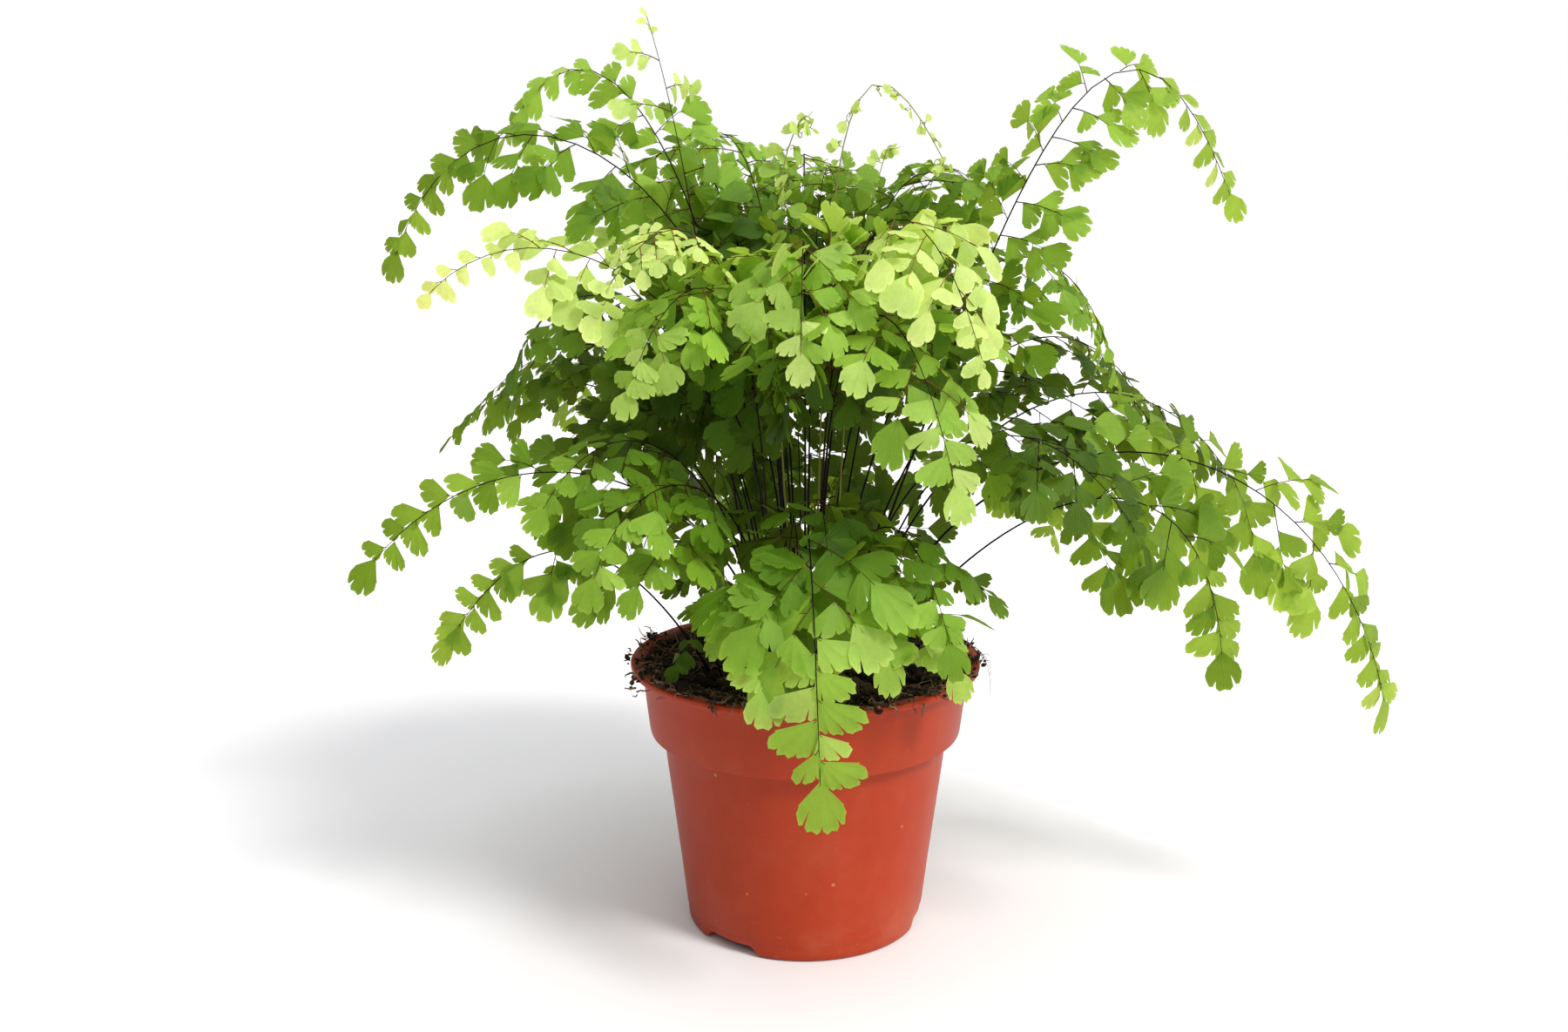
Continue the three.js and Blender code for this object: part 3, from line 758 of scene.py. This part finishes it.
class Leaf:
    """A pattern for a leaflet of length 1: a lobed fan that goes from the origin along +X, and faces +Z.

    A side leaflet is lopsided: one straight edge is long and nearly square to the stalk it sits on, the
    other is short and lies along that stalk. An end leaflet is even. A young one is rounder, with few and
    shallow lobes.
    """

    # where the rows of points lie, as shares of the length, and the steps across, as shares of a lobe
    ROWS = (0.0, 0.55, 1.0)
    LOBE = (0.0, 0.07, 0.25, 0.5, 0.75, 0.93)
    CLEFT = 0.07

    def __init__(self, name, kind, lobes, rng, young):
        self.kind, self.lobes, self.young = kind, lobes, young
        if kind == "end":
            self.sweep = math.radians(rng.uniform(74, 94))
            self.start = -self.sweep / 2
            self.width = rng.uniform(0.50, 0.64)
        else:
            self.sweep = math.radians(rng.uniform(78, 96))
            self.start = math.radians(rng.uniform(24, 34)) - self.sweep
            self.width = rng.uniform(0.52, 0.68)
        self.square = rng.uniform(2.1, 2.6 if young else 2.8)
        least, most = (0.02, 0.08) if young else (0.03, 0.13)
        self.depths = [rng.uniform(least, most) for _ in range(lobes + 1)]
        if not young:
            self.depths[rng.randint(1, lobes - 1)] = rng.uniform(0.12, 0.30)
        self.dents = [rng.uniform(0.02, 0.085) for _ in range(lobes)]
        cup, arch = rng.uniform(-0.7, 0.25), rng.uniform(-0.4, 0.1)
        wave = rng.uniform(0.003, 0.014)
        bm = self.fan()
        side = -1 if kind == "right" else 1
        for vert in bm.verts:
            across, share = self.polar(vert.co)
            across = self.gathered(across)
            angle = self.start + self.sweep * across
            length = share * (self.margin(across) if share > 0.9 else self.outline(across))
            x, y = length * math.cos(angle), length * math.sin(angle)
            ripple = wave * share * math.sin(across * lobes * math.tau + 1)
            vert.co = Vector((x, y * side, cup * y * y + arch * x * x + ripple))
        bmesh.ops.recalc_face_normals(bm, faces=bm.faces)
        if sum(face.normal.z for face in bm.faces) < 0:
            bmesh.ops.reverse_faces(bm, faces=bm.faces)
        smooth(bm, 50)
        self.mesh = bpy.data.meshes.new(name)
        bm.to_mesh(self.mesh)
        bm.free()

    def fan(self):
        """A flat even fan with its chart: across it from edge to edge, and out from its stalk end."""
        bm = bmesh.new()
        verts = [bm.verts.new((share, 0, 0)) for share in self.ROWS]
        edges = [bm.edges.new(pair) for pair in zip(verts, verts[1:])]
        bmesh.ops.rotate(bm, cent=(0, 0, 0), matrix=Matrix.Rotation(self.start, 3, "Z"), verts=bm.verts)
        steps = self.lobes * len(self.LOBE)
        centre, up = (0, 0, 0), (0, 0, 1)
        bmesh.ops.spin(bm, geom=verts + edges, cent=centre, axis=up, angle=self.sweep, steps=steps)
        bmesh.ops.remove_doubles(bm, verts=bm.verts, dist=1e-4)
        chart = bm.loops.layers.uv.new("fan")
        for face in bm.faces:
            for loop in face.loops:
                across, share = self.polar(loop.vert.co)
                if share < 0.01:
                    others = [self.polar(v.co)[0] for v in face.verts if v is not loop.vert]
                    across = sum(others) / len(others)
                loop[chart].uv = (across, share)
        return bm

    def gathered(self, across):
        """Draws the even steps across the fan together at the clefts, so that these stay narrow."""
        step = round(across * self.lobes * len(self.LOBE))
        lobe, place = divmod(step, len(self.LOBE))
        return (lobe + self.LOBE[place]) / self.lobes

    def outline(self, across):
        """The smooth length of the fan at a share of its width: of a rounded oblong that is 1 long."""
        angle = self.sweep * (abs(across - 0.5) if self.kind == "end" else 1 - across)
        along, out = abs(math.cos(angle)), abs(math.sin(angle)) / self.width
        return (along**self.square + out**self.square) ** (-1 / self.square)

    def margin(self, across):
        """The outline with its lobes: rounded corners, and rounded lobes with narrow clefts between them."""
        phase = across * self.lobes
        cleft = self.depths[round(phase)] * max(0, 1 - abs(phase - round(phase)) / self.CLEFT)
        round_end = (0.07 if self.young else 0.12) * abs(2 * (phase % 1) - 1) ** 3
        if not self.young and abs(phase % 1 - 0.5) < 0.01:
            round_end += self.dents[int(phase)]
        edge = min(across, 1 - across)
        reach, drop = (0.22, 0.26) if self.young else (0.20, 0.24)
        corner = drop * max(0, 1 - edge / reach) ** 2
        if edge < 0.01:
            cleft, round_end = 0, 0
        return self.outline(across) * (1 - cleft - round_end - corner)

    def polar(self, co):
        """The share of the fan's angle and of its length at a place of the flat even fan."""
        if co.length < 1e-6:
            return 0.5, 0.0
        return (math.atan2(co.y, co.x) - self.start) / self.sweep, co.length


def leaf_patterns(rng, young):
    """Patterns for each of the three places that a leaflet has: left or right of its stalk, or at the end."""
    made = {"left": [], "right": [], "end": []}
    age = "young" if young else "grown"
    for k, lobes in enumerate((3, 3, 2, 3) if young else (4, 3, 4, 3, 4, 4, 3)):
        for kind in ("left", "right"):
            made[kind].append(Leaf(f"leaf_{age}_{kind}_{k}", kind, lobes, rng, young))
    for k, lobes in enumerate((3, 2, 3) if young else (3, 4, 4, 3)):
        made["end"].append(Leaf(f"leaf_{age}_end_{k}", "end", lobes, rng, young))
    return made


# ---------------------------------------------------------------- fronds

# height in millimetres that the fronds start at, and the number of places that each midrib's curve is read at
ROOT_HEIGHT = 92
MIDRIB_READINGS = 60
# the way that leaflets turn to
SUNWARD = Vector((0.3, -0.75, 0.6))
# the middle of the foliage, how far the shade painted into leaflets' colour reaches from it, and how much
# darker that painted shade makes them
HEART = Vector((0, 0.01, 0.17))
HEART_REACH = 100 * MM
HEART_SHADE = 0.85
# the side of the cells that leaflets are sorted into, and how near two may be, as a share of their size
ROOM_CELL = 8 * MM
ROOM_SHARE = 0.24
# youths above which a frond has the young patterns, and above which its leaflets shrink more towards the tip
YOUNG = 0.75
VERY_YOUNG = 0.8
# a frond's leaflets face the light if its blade is turned by so many degrees, or if it points so far to the
# front, or if its tip is below so many millimetres
FRONT_TURN = 40
FRONT_WAY = -0.3
LOW_TIP = 160
# above this share of bare stalk, leaflets are far apart
LONG_BARE = 0.8
# shares of a leaflet's length: the spacing of a branch's leaflets, and the least branch and twig there can be
SPACING = 0.34
LEAST_BRANCH = 0.75
LEAST_TWIG = 0.8
# the angles in degrees that branches and their twigs lean forward by
BRANCH_LEAN = (26, 44)
TWIG_LEAN = (32, 46)
BRANCH_STEPS = 6
BRANCH_POINTS = 5
# radii of stalks in millimetres: a midrib's, without and per millimetre of its length, and the others
MIDRIB_THICK = 0.38
MIDRIB_MORE = 0.0005
BRANCH_THICK = 0.2
TWIG_THICK = 0.15
TIP_THICK = 0.09
STEM_THICK = 0.13

# The heading, its swing on the way out and the turn of the blade are in degrees. The root is a radius, and
# rise, crest and tip, which bend the midrib, are a radius and a height, in millimetres, as are the spread of
# the blade's branches and the length of a leaflet. Bare is the share of the stalk before the first leaflet,
# and youth goes from 0 to 1. Youth also paints shade: it is set low on some fronds that sit in the shade,
# such as those at the back and in the middle, so that their green is darker.
FRONDS = [
    # name, heading, swing, root, rise, crest, tip, turn, spread, bare, leaf, youth
    ("left_low", 197, 0, 34, (62, 140), (90, 155), (119, 112), 48, 15, 0.35, 13.0, 0.46),
    ("left_long", 202, 0, 14, (25, 162), (100, 188), (143, 142), 48, 18, 0.40, 15.0, 0.32),
    ("left_back_low", 156, 0, 16, (25, 175), (95, 212), (142, 162), 20, 30, 0.40, 11.0, 0.22),
    ("left_mid", 176, 0, 12, (20, 215), (75, 245), (98, 194), 25, 30, 0.50, 11.5, 0.30),
    ("left_pale", 206, 0, 10, (10, 225), (90, 256), (124, 224), 50, 24, 0.50, 12.0, 0.84),
    ("left_upper", 190, -3, 6, (5, 262), (100, 311), (131, 234), 44, 24, 0.46, 13.2, 0.32),
    ("tall", 185, -14, 16, (28, 180), (37, 260), (52, 306), 42, 19, 0.86, 8.0, 0.82),
    ("left_top", 158, 18, 10, (20, 230), (62, 337), (98, 270), 50, 16, 0.50, 12.5, 0.52),
    ("top_right", 0, 0, 10, (55, 210), (90, 362), (137, 252), 50, 21, 0.45, 12.5, 0.50),
    ("top_right_back", 42, 0, 8, (30, 200), (50, 290), (86, 248), 20, 30, 0.52, 10.0, 0.30),
    ("right_long", 356, 0, 20, (60, 200), (170, 186), (196, 84), 50, 30, 0.40, 16.0, 0.46),
    ("right_low", 346, -10, 24, (60, 152), (128, 192), (140, 114), 50, 22, 0.54, 15.0, 0.30),
    ("right_upper", 8, 0, 8, (25, 225), (82, 272), (108, 188), 25, 26, 0.50, 10.5, 0.46),
    ("right_mid_back", 25, 0, 13, (40, 200), (105, 234), (146, 162), 15, 24, 0.48, 10.0, 0.00),
    ("right_mid", 12, 0, 16, (45, 188), (122, 214), (162, 140), 30, 26, 0.46, 11.5, 0.02),
    ("front_hanging", 268, 4, 14, (30, 175), (75, 160), (93, 85), 0, 28, 0.36, 18.5, 0.54),
    ("front_right_high", 298, 0, 10, (5, 230), (55, 246), (89, 171), 0, 38, 0.48, 15.0, 0.68),
    ("front_left", 230, 0, 20, (20, 165), (76, 184), (98, 142), 20, 22, 0.50, 13.5, 0.48),
    ("front_right_low", 302, 0, 20, (25, 155), (58, 168), (80, 120), 0, 20, 0.56, 15.0, 0.46),
    ("crest_pale", 308, 0, 8, (2, 252), (50, 280), (83, 203), 0, 42, 0.47, 13.0, 0.95),
    ("top_left", 120, 0, 6, (8, 230), (38, 296), (84, 262), 0, 32, 0.50, 9.5, 0.46),
    ("centre_high", 268, 0, 6, (0, 222), (35, 277), (70, 208), 0, 44, 0.44, 13.0, 0.74),
    ("left_front_high", 230, 0, 8, (8, 225), (55, 252), (82, 196), 10, 34, 0.50, 12.0, 0.68),
    ("back_high", 90, 0, 8, (10, 235), (50, 292), (98, 250), 0, 44, 0.44, 9.0, 0.44),
    ("back_left_high", 122, 0, 10, (12, 225), (60, 290), (110, 220), 0, 36, 0.44, 9.5, 0.42),
    ("back_right_high", 62, 0, 10, (12, 230), (60, 288), (112, 215), 0, 34, 0.44, 9.5, 0.40),
    ("back_mid", 100, 0, 18, (30, 190), (90, 235), (145, 165), 0, 44, 0.46, 12.0, 0.30),
    ("back_left_mid", 128, 0, 18, (28, 180), (90, 225), (150, 160), 0, 42, 0.46, 12.0, 0.35),
    ("back_right_mid", 68, 0, 18, (30, 185), (95, 230), (150, 165), 0, 42, 0.46, 12.0, 0.35),
    ("back_low", 88, 0, 28, (55, 150), (100, 175), (145, 110), 0, 44, 0.28, 13.0, 0.30),
    ("back_left_low", 118, 0, 28, (55, 150), (95, 170), (138, 115), 0, 26, 0.50, 12.0, 0.30),
    ("back_right_low", 48, 0, 28, (55, 155), (110, 180), (155, 112), 0, 28, 0.52, 12.0, 0.25),
    ("right_front_mid", 328, 0, 16, (28, 175), (80, 205), (118, 150), 20, 30, 0.52, 13.0, 0.02),
    ("right_front_low", 322, 0, 30, (38, 120), (50, 142), (72, 128), 10, 12, 0.44, 11.0, 0.25),
    ("left_front_mid", 216, 0, 18, (28, 168), (70, 198), (98, 160), 25, 24, 0.46, 12.0, 0.40),
    ("left_front_low", 234, 0, 30, (40, 132), (62, 164), (86, 138), 15, 22, 0.42, 12.5, 0.40),
    ("front_mid", 276, 0, 12, (10, 150), (34, 172), (56, 146), 0, 22, 0.50, 12.0, 0.46),
    ("front_low", 261, 0, 26, (32, 130), (52, 148), (80, 110), 0, 20, 0.40, 15.5, 0.59),
    ("front_low_left", 255, 0, 31, (40, 118), (56, 150), (73, 126), 0, 17, 0.36, 15.5, 0.57),
    ("front_low_right", 290, 0, 30, (36, 130), (50, 150), (70, 116), 0, 32, 0.34, 16.5, 0.61),
    ("front_low_middle", 264, 0, 18, (22, 145), (38, 168), (62, 134), 0, 34, 0.36, 16.0, 0.54),
    ("right_rim", 310, 0, 34, (42, 120), (56, 134), (70, 108), 0, 26, 0.36, 15.0, 0.60),
    ("sprout", 212, 0, 33, (38, 108), (43, 112), (50, 100), 0, 5, 0.62, 8.0, 0.30),
    ("left_mid_back", 166, 0, 14, (20, 200), (75, 225), (120, 175), 15, 34, 0.45, 11.0, 0.22),
    ("right_inner_high", 34, 0, 5, (8, 235), (42, 296), (80, 232), 0, 30, 0.50, 10.0, 0.42),
    ("left_high", 142, 0, 6, (12, 225), (48, 320), (86, 232), 20, 28, 0.48, 10.0, 0.42),
    ("small_pale", 223, 0, 17, (14, 215), (42, 270), (80, 226), 10, 28, 0.50, 6.5, 0.94),
    ("back_short", 92, 0, 30, (36, 140), (55, 184), (88, 156), 0, 40, 0.30, 12.0, 0.08),
    ("left_short", 142, 0, 28, (36, 120), (50, 146), (70, 130), 20, 12, 0.40, 10.5, 0.10),
    ("right_short", 38, 0, 26, (34, 118), (46, 140), (62, 124), 20, 8, 0.60, 10.0, 0.10),
    ("centre_top", 75, 0, 3, (3, 215), (15, 282), (42, 252), 0, 34, 0.48, 9.0, 0.52),
]

CROZIERS = [
    # name, heading, root, rise, crest, tip, coil radius
    ("crozier_right", 0, 2, (8, 190), (0, 345), (44, 262), 3.6),
    ("crozier_middle", 214, 4, (10, 180), (20, 255), (2, 274), 4.6),
    ("crozier_back", 52, 16, (20, 160), (24, 230), (46, 265), 3.8),
]

MIDRIB_POINTS = 34
COIL_STEPS = 14
CROZIER_TURN = 20
# tufts along the end of a crozier, and the shares of its length where they start and step
TUFTS = 10
TUFT_START = 0.72
TUFT_STEP = 0.03


class Path:
    """A line with evenly read places: point(share) and way(share), by share of its length."""

    def __init__(self, points):
        self.points = points
        self.marks = [0.0]
        for a, b in zip(points, points[1:]):
            self.marks.append(self.marks[-1] + (b - a).length)
        self.length = self.marks[-1]

    def step(self, share):
        """The number of the stretch that holds a share of the length, and the share of that stretch."""
        along = clamped(share) * self.length
        for k in range(1, len(self.marks)):
            if self.marks[k] >= along or k == len(self.marks) - 1:
                return k, clamped((along - self.marks[k - 1]) / (self.marks[k] - self.marks[k - 1]))

    def point(self, share):
        k, rest = self.step(share)
        return self.points[k - 1].lerp(self.points[k], rest)

    def way(self, share):
        k, _ = self.step(share)
        return (self.points[k] - self.points[k - 1]).normalized()

    def some(self, count):
        return [self.point(k / (count - 1)) for k in range(count)]


def midrib(heading, swing, root, rise, crest, tip):
    """The curve of a frond from the rootstock to its tip."""
    knots = [
        around(heading, root, ROOT_HEIGHT),
        around(heading + swing * 0.2, *rise),
        around(heading + swing * 0.6, *crest),
        around(heading + swing, *tip),
    ]
    return Path(interpolate_bezier(*knots, MIDRIB_READINGS))


def blade_facing(way, heading, turn):
    """The facing of a blade on a midrib that goes one way: up, and turned towards the front by degrees."""
    level = around(heading + 90, 1, 0).normalized()
    level = (level - way * level.dot(way)).normalized()
    facing = way.cross(level)
    sign = 1 if way.cross(facing).y < 0 else -1
    return Matrix.Rotation(math.radians(turn) * sign, 3, way) @ facing


class Frond:
    """One leaf: gathers the strands and leaflets of a frond, and makes them one mesh."""

    def __init__(self, leaf, youth, rng, patterns, taken):
        self.leaf, self.youth, self.rng = leaf, youth, rng
        self.patterns, self.taken = patterns, taken
        # how far leaflets turn to the light, how unevenly, and the angles that they lean forward by
        self.gaze, self.unrest, self.lean = 0.4, 0.26, (26, 54)
        self.strands = []
        self.leaflets = []

    def room(self, place, size):
        """False where another leaflet's middle is already very near."""
        key = tuple(int(c // ROOM_CELL) for c in place)
        for shift in itertools.product((-1, 0, 1), repeat=3):
            cell = tuple(a + b for a, b in zip(key, shift))
            if any((other - place).length < size * ROOM_SHARE for other in self.taken.get(cell, ())):
                return False
        self.taken.setdefault(key, []).append(place)
        return True

    def leaflet(self, foot, way, facing, size, kind, youth):
        """One leaflet on its own fine stem, if there is room. It hangs a little and turns to the light."""
        rng = self.rng
        size = size * MM
        way = (way + Vector((0, 0, -rng.uniform(0.02, 0.22) - 0.2 * max(way.z, 0)))).normalized()
        facing = (facing + SUNWARD * self.gaze + scatter(rng, self.unrest)).normalized()
        facing = (facing - way * facing.dot(way)).normalized()
        middle = foot + way * size * 0.6
        if not self.room(middle, size):
            return
        base = foot + way * (rng.uniform(0.4, 1.3) * MM)
        place = Matrix((way, facing.cross(way), facing)).transposed().to_4x4()
        place.translation = base - way * 0.2 * MM
        stretch = Matrix.Diagonal((size, size * rng.uniform(0.9, 1.12), size, 1))
        # leaflets near the middle of the foliage get a lower tint: painted shade that darkens their green
        inside = max(0, 1 - (middle - HEART).length / HEART_REACH)
        tint = clamped(youth + rng.gauss(0, 0.07) - HEART_SHADE * inside)
        self.leaflets.append((rng.choice(self.patterns[kind]).mesh, place @ stretch, tint))
        stem = [foot, base + way * size * 0.08]
        self.strands.append((stem, [STEM_THICK, TIP_THICK], 0.1 + 0.4 * youth))

    def side_leaflet(self, here, going, facing, side, size, youth):
        """A leaflet beside a stalk: its long way points well out from the stalk and a little forward."""
        out = self.sideways(going, facing, side, *self.lean)
        self.leaflet(here, out, facing, size, "left" if side > 0 else "right", youth)

    def branch(self, foot, way, facing, length, side, youth, twig=False):
        """A branch with leaflets and twigs along it and a leaflet at its end, hanging and turned a little."""
        rng = self.rng
        way = (way + Vector((0, 0, -rng.uniform(0.0, 0.45)))).normalized()
        facing = Matrix.Rotation(rng.gauss(0, 0.3), 3, way) @ facing
        points, at, step = [foot], foot.copy(), length * MM / BRANCH_STEPS
        for _ in range(BRANCH_STEPS):
            at = at + way * step
            way = (way + Vector((0, 0, -0.07)) + facing * rng.gauss(0, 0.03)).normalized()
            points.append(at.copy())
        path = Path(points)
        thick = TWIG_THICK if twig else BRANCH_THICK
        radii = [thick - (thick - TIP_THICK) * k / (BRANCH_POINTS - 1) for k in range(BRANCH_POINTS)]
        self.strands.append((path.some(BRANCH_POINTS), radii, 0.05 + 0.45 * youth))
        spacing = self.leaf * SPACING
        share = min(rng.uniform(2.0, 4.0) / length, 0.4)
        while share < 1 - 0.2 * spacing / length:
            here, going = path.point(share), path.way(share)
            rest = length * 0.5 * (1 - share)
            if not twig and rest > self.leaf * LEAST_TWIG:
                out = self.sideways(going, facing, side, *TWIG_LEAN)
                self.branch(here, out, facing, rest, side, youth, True)
                share += spacing * 1.4 / length
            else:
                size = self.leaf * rng.uniform(0.72, 1.02) * (1 - 0.12 * share)
                self.side_leaflet(here, going, facing, side, size, youth)
                share += spacing * rng.uniform(0.85, 1.15) / length
            side = -side
        size = self.leaf * rng.uniform(0.85, 1.08)
        self.leaflet(path.point(1), path.way(1), facing, size, "end", youth + 0.05)

    def sideways(self, going, facing, side, least, most):
        """A way out to one side of a stalk, leaning forward by an angle in degrees between two bounds."""
        across = facing.cross(going).normalized()
        lean = math.radians(self.rng.uniform(least, most))
        return going * math.sin(lean) + across * side * math.cos(lean)

    def set_habit(self, path, heading, turn):
        """Leaflets face the light most on fronds that are turned to the front, point there or end low."""
        to_front = turn >= FRONT_TURN or around(heading, 1, 0).normalized().y < FRONT_WAY
        low = path.point(1).z < LOW_TIP * MM
        self.gaze = 0.36 if to_front or low else 0.14
        self.unrest = 0.3 if turn else 0.22
        self.lean = (34, 60) if turn else (24, 50) if to_front else (14, 38)

    def grow(self, path, heading, turn, spread, bare):
        """The midrib, with branches that shorten towards its tip, single leaflets, and one at the end."""
        rng = self.rng
        self.set_habit(path, heading, turn)
        thick = MIDRIB_THICK + MIDRIB_MORE * path.length / MM
        radii = [thick * (1 - 0.80 * k / (MIDRIB_POINTS - 1)) for k in range(MIDRIB_POINTS)]
        self.strands.append((path.some(MIDRIB_POINTS), radii, 0.25 * self.youth))
        taper, last = (0.4, 0.5) if self.youth > VERY_YOUNG else (0.2, 0.86)
        sparse = 1.9 if bare > LONG_BARE else 1
        share, side = bare, rng.choice((-1, 1))
        end = 1 - 0.3 * self.leaf * MM / path.length
        while share <= end:
            along = (share - bare) / (1 - bare)
            here, going = path.point(share), path.way(share)
            facing = blade_facing(going, heading, turn)
            length = spread * (1 - along) ** 0.8 * rng.uniform(0.8, 1.2)
            youth = self.youth - 0.05 + 0.18 * along
            if length > self.leaf * LEAST_BRANCH:
                out = self.sideways(going, facing, side, *BRANCH_LEAN)
                self.branch(here, out, facing, length, side, youth)
                step = self.leaf * 0.42 + length * 0.08
            else:
                size = self.leaf * rng.uniform(0.78, 1.1) * (1 - taper * along)
                self.side_leaflet(here, going, facing, side, size, youth)
                step = self.leaf * (0.4 - 0.0075 * self.leaf)
            step *= rng.uniform(0.8, 1.2) * sparse * MM / path.length
            share = min(share + step, end) if share < end else 1
            side = -side
        facing = blade_facing(path.way(1), heading, turn)
        self.leaflet(path.point(1), path.way(1), facing, self.leaf * last, "end", self.youth + 0.08)

    def build(self, node, leaf_skin, stalk_skin):
        """The one mesh of all leaflets and stalks, standing for a node."""
        bm = bmesh.new()
        tint = bm.faces.layers.float.new("tint")
        bm.loops.layers.uv.new("fan")
        for pattern, place, shade in self.leaflets:
            verts, faces = add_mesh(bm, pattern)
            bmesh.ops.transform(bm, matrix=place, verts=verts)
            for face in faces:
                face[tint] = shade
        add_strands(bm, tint, self.strands, 1)
        return piece(node + "_leaf", bm, [leaf_skin, stalk_skin], node)


def build_fronds(leaf_skin, stalk_skin):
    """All grown fronds. Leaflets of one keep clear of those of the others."""
    grown = leaf_patterns(random.Random(11), False)
    young = leaf_patterns(random.Random(13), True)
    taken = {}
    for k, row in enumerate(FRONDS):
        name, heading, swing, root, rise, crest, tip, turn, spread, bare, leaf, youth = row
        patterns, slot = (young, "frond_young") if youth > YOUNG else (grown, "frond_mature")
        frond = Frond(leaf, youth, random.Random(100 + k), patterns, taken)
        frond.grow(midrib(heading, swing, root, rise, crest, tip), heading, turn, spread, bare)
        frond.build("frond_" + name, leaf_skin, stalk_skin)


def coil(start, way, bend, radius, turns):
    """Points of a flat spiral that winds inwards from a start."""
    points, at, steps = [], start.copy(), round(turns * COIL_STEPS)
    for k in range(steps + 1):
        points.append(at.copy())
        now = radius * (1 - 0.8 * k / steps) * MM
        at = at + way * now * math.tau / COIL_STEPS
        way = Matrix.Rotation(math.tau / COIL_STEPS, 3, bend) @ way
    return points


def tuft(frond, at, way, facing, size):
    """A knot of tiny leaflets that are just opening, on a short curled side stalk."""
    rng = frond.rng
    side = frond.sideways(way, facing, rng.choice((-1, 1)), 0, 50)
    end = at + side * rng.uniform(1.0, 3.0) * MM
    bend = scatter(rng, 1).normalized()
    bend = (bend - side * bend.dot(side)).normalized()
    curl = coil(end, side, bend, size * 0.35, 1.1)
    frond.strands.append(([at, end], [0.14, 0.12], 0.9))
    frond.strands.append((curl, [0.13] * len(curl), 0.95))
    for foot in (end, curl[5], curl[9]):
        out = scatter(rng, 1).normalized()
        frond.leaflet(foot, out, facing, size * rng.uniform(0.9, 1.5), "end", 0.9)


def build_croziers(leaf_skin, stalk_skin):
    """Young fronds whose tips are still coiled, with knots of small leaflets along them."""
    patterns = leaf_patterns(random.Random(12), True)
    for k, (name, heading, root, rise, crest, tip, size) in enumerate(CROZIERS):
        rng = random.Random(300 + k)
        frond = Frond(size, 0.9, rng, patterns, {})
        path = midrib(heading, 0, root, rise, crest, tip)
        radii = [0.42 - 0.26 * j / (MIDRIB_POINTS - 1) for j in range(MIDRIB_POINTS)]
        frond.strands.append((path.some(MIDRIB_POINTS), radii, 0.72))
        facing = blade_facing(path.way(1), heading, CROZIER_TURN)
        bend = path.way(0.9).cross(path.way(1))
        bend = bend.normalized() if bend.length > 0.02 else facing
        hook = coil(path.point(1), path.way(1), bend, size * 0.5, 1.6)
        frond.strands.append((hook, [0.2 - 0.08 * j / len(hook) for j in range(len(hook))], 0.92))
        for j in range(TUFTS):
            share = TUFT_START + TUFT_STEP * j + rng.uniform(0, 0.012)
            tuft(frond, path.point(share), path.way(share), facing, size * rng.uniform(0.6, 1.2))
        for foot in hook[2::3]:
            out = scatter(rng, 1).normalized()
            frond.leaflet(foot, out, facing, size * rng.uniform(0.6, 0.9), "end", 0.92)
        frond.build(name, leaf_skin, stalk_skin)


# ---------------------------------------------------------------- floor


def build_floor(pale):
    """The sheet that the pot stands on, 24 metres wide."""
    bm = bmesh.new()
    bmesh.ops.create_grid(bm, x_segments=8, y_segments=8, size=12)
    mesh = bpy.data.meshes.new("floor")
    bm.to_mesh(mesh)
    bm.free()
    mesh.materials.append(pale)
    link("floor", mesh)


# ---------------------------------------------------------------- the whole plant

set_camera()
set_studio()
set_lamp()
build_floor(floor_material())
build_pot(pot_material())
peat = peat_material()
build_compost(peat)
build_crumbs(peat, random.Random(1))
build_fibres(fibre_material(), random.Random(2))
build_rhizome(rootstock_material(), random.Random(3))
leaf_skin = leaf_material()
stalk_skin = stalk_material()
build_fronds(leaf_skin, stalk_skin)
build_croziers(leaf_skin, stalk_skin)
